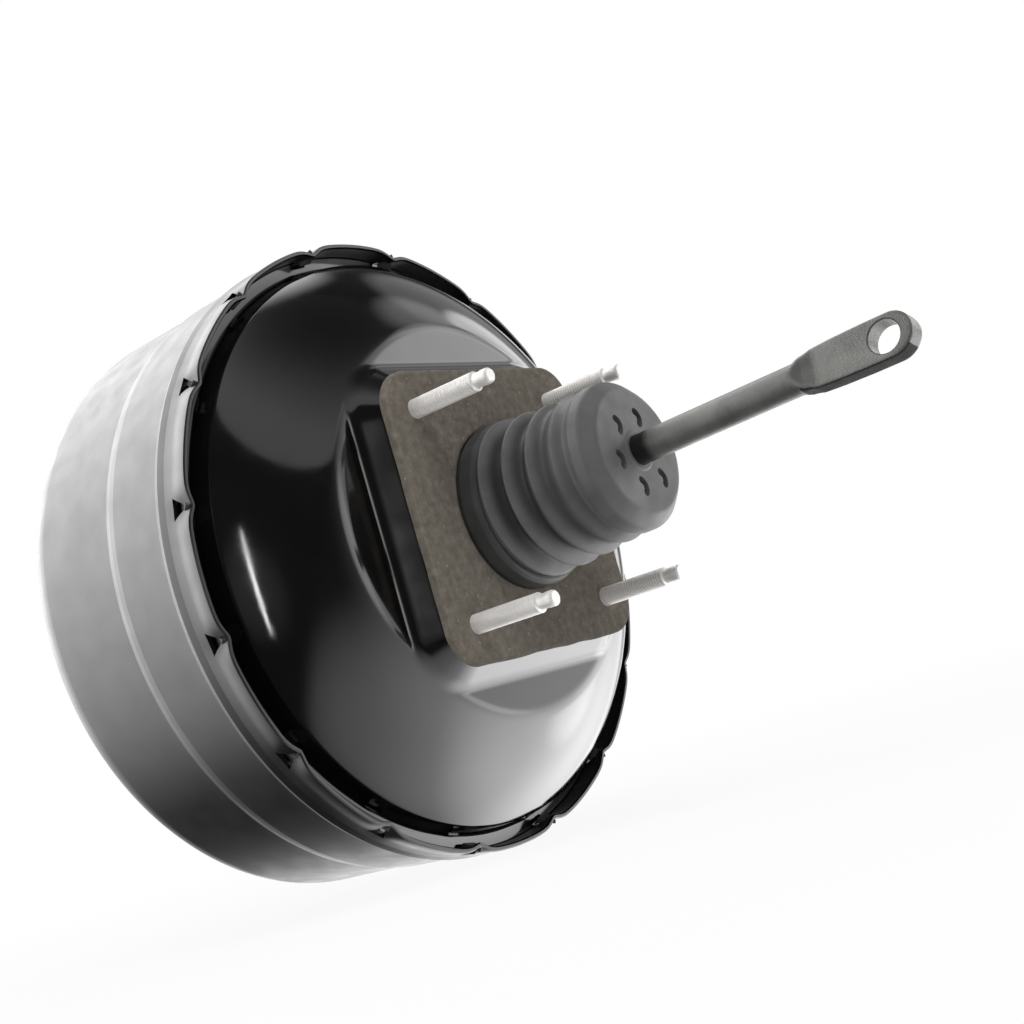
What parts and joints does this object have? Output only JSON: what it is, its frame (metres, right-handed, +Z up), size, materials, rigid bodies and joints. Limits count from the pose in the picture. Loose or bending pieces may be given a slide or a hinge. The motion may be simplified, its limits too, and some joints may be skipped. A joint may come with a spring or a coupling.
{
  "type": "vacuum brake booster",
  "caption": "Round tandem vacuum booster with a stepped drum, square firewall flange, ribbed boot and eyed pushrod; it multiplies pedal force.",
  "frame": {"origin": "centre of the four firewall studs, on the rear face of the foam gasket", "axes": "+Y along the booster's axis toward the master cylinder, +Z up, +X to the right of someone looking along +Y"},
  "size_m": [0.2624, 0.3654, 0.2624],
  "materials": {
    "shell_gloss_black": "gloss",
    "shell_satin_black": "satin",
    "zinc_steel": "bright zinc",
    "yellow_zinc": "passivated",
    "gasket_foam": "speckled foam",
    "boot_rubber": "matte",
    "seal_rubber": "matte",
    "rod_steel": "phosphated",
    "machined_steel": "ground",
    "spring_steel": "drawn",
    "phenolic": "moulded",
    "nylon": "moulded",
    "black_nylon": "moulded",
    "filter_foam": "open foam",
    "felt": "felt"
  },
  "bodies": {
    "housing": {"rear_shell": "shell_gloss_black", "gasket": "gasket_foam", "firewall_studs": "zinc_steel", "rear_reinforcement": "yellow_zinc", "neck_bush": "nylon", "neck_seal": "seal_rubber", "seal_retainer": "zinc_steel", "divider_plate": "yellow_zinc", "divider_bush": "nylon", "divider_seal": "seal_rubber", "rear_diaphragm": "seal_rubber", "front_diaphragm": "seal_rubber", "return_spring": "spring_steel", "front_shell": "shell_satin_black", "front_reinforcement": "yellow_zinc", "seal_cup": "yellow_zinc", "front_seal": "seal_rubber", "front_seal_ring": "zinc_steel", "master_cylinder_studs": "zinc_steel", "valve_grommet": "seal_rubber", "check_valve_body": "black_nylon", "check_valve_cap": "black_nylon", "check_valve_spring": "spring_steel"},
    "power_piston": {"valve_body": "phenolic", "rear_plate": "yellow_zinc", "front_plate": "yellow_zinc", "plate_rings": "spring_steel", "hub_retainer": "yellow_zinc", "output_rod": "machined_steel", "output_screw": "zinc_steel", "reaction_disc": "seal_rubber", "stop_key": "zinc_steel", "poppet": "seal_rubber", "poppet_retainer": "yellow_zinc", "poppet_spring": "spring_steel", "rod_spring": "spring_steel", "air_filter": "filter_foam", "silencer": "felt"},
    "valve_plunger": {"plunger": "machined_steel", "ratio_disc": "machined_steel"},
    "rod_ball": {"input_rod_ball": "machined_steel"},
    "pushrod": {"input_rod": "rod_steel", "boot": "boot_rubber"},
    "check_disc": {"check_valve_disc": "seal_rubber"}
  },
  "joints": [
    {"name": "piston_stroke", "type": "slide", "parent": "housing", "child": "power_piston", "axis": [0, 1, 0], "range_m": [0, 0.03], "stiffness_N_per_m": 3000, "springref_m": -0.04, "deforming": ["return_spring", "rear_diaphragm", "front_diaphragm", "boot"]},
    {"name": "valve_travel", "type": "slide", "parent": "power_piston", "child": "valve_plunger", "axis": [0, 1, 0], "range_m": [0, 0.002], "stiffness_N_per_m": 4000, "springref_m": -0.005, "deforming": ["rod_spring", "poppet_spring", "boot"]},
    {"name": "rod_pitch", "type": "hinge", "parent": "valve_plunger", "child": "rod_ball", "pos_m": [0, 0.015, 0], "axis": [1, 0, 0], "range_deg": [-2, 6], "stiffness_Nm_per_rad": 20, "deforming": ["boot", "rod_spring"]},
    {"name": "rod_yaw", "type": "hinge", "parent": "rod_ball", "child": "pushrod", "pos_m": [0, 0.015, 0], "axis": [0, 0, 1], "range_deg": [-4, 4], "stiffness_Nm_per_rad": 20, "deforming": ["boot", "rod_spring"]},
    {"name": "check_valve_lift", "type": "slide", "parent": "housing", "child": "check_disc", "axis": [0, 1, 0], "range_m": [0, 0.002], "stiffness_N_per_m": 300, "springref_m": -0.002, "deforming": ["check_valve_spring"]}
  ]
}
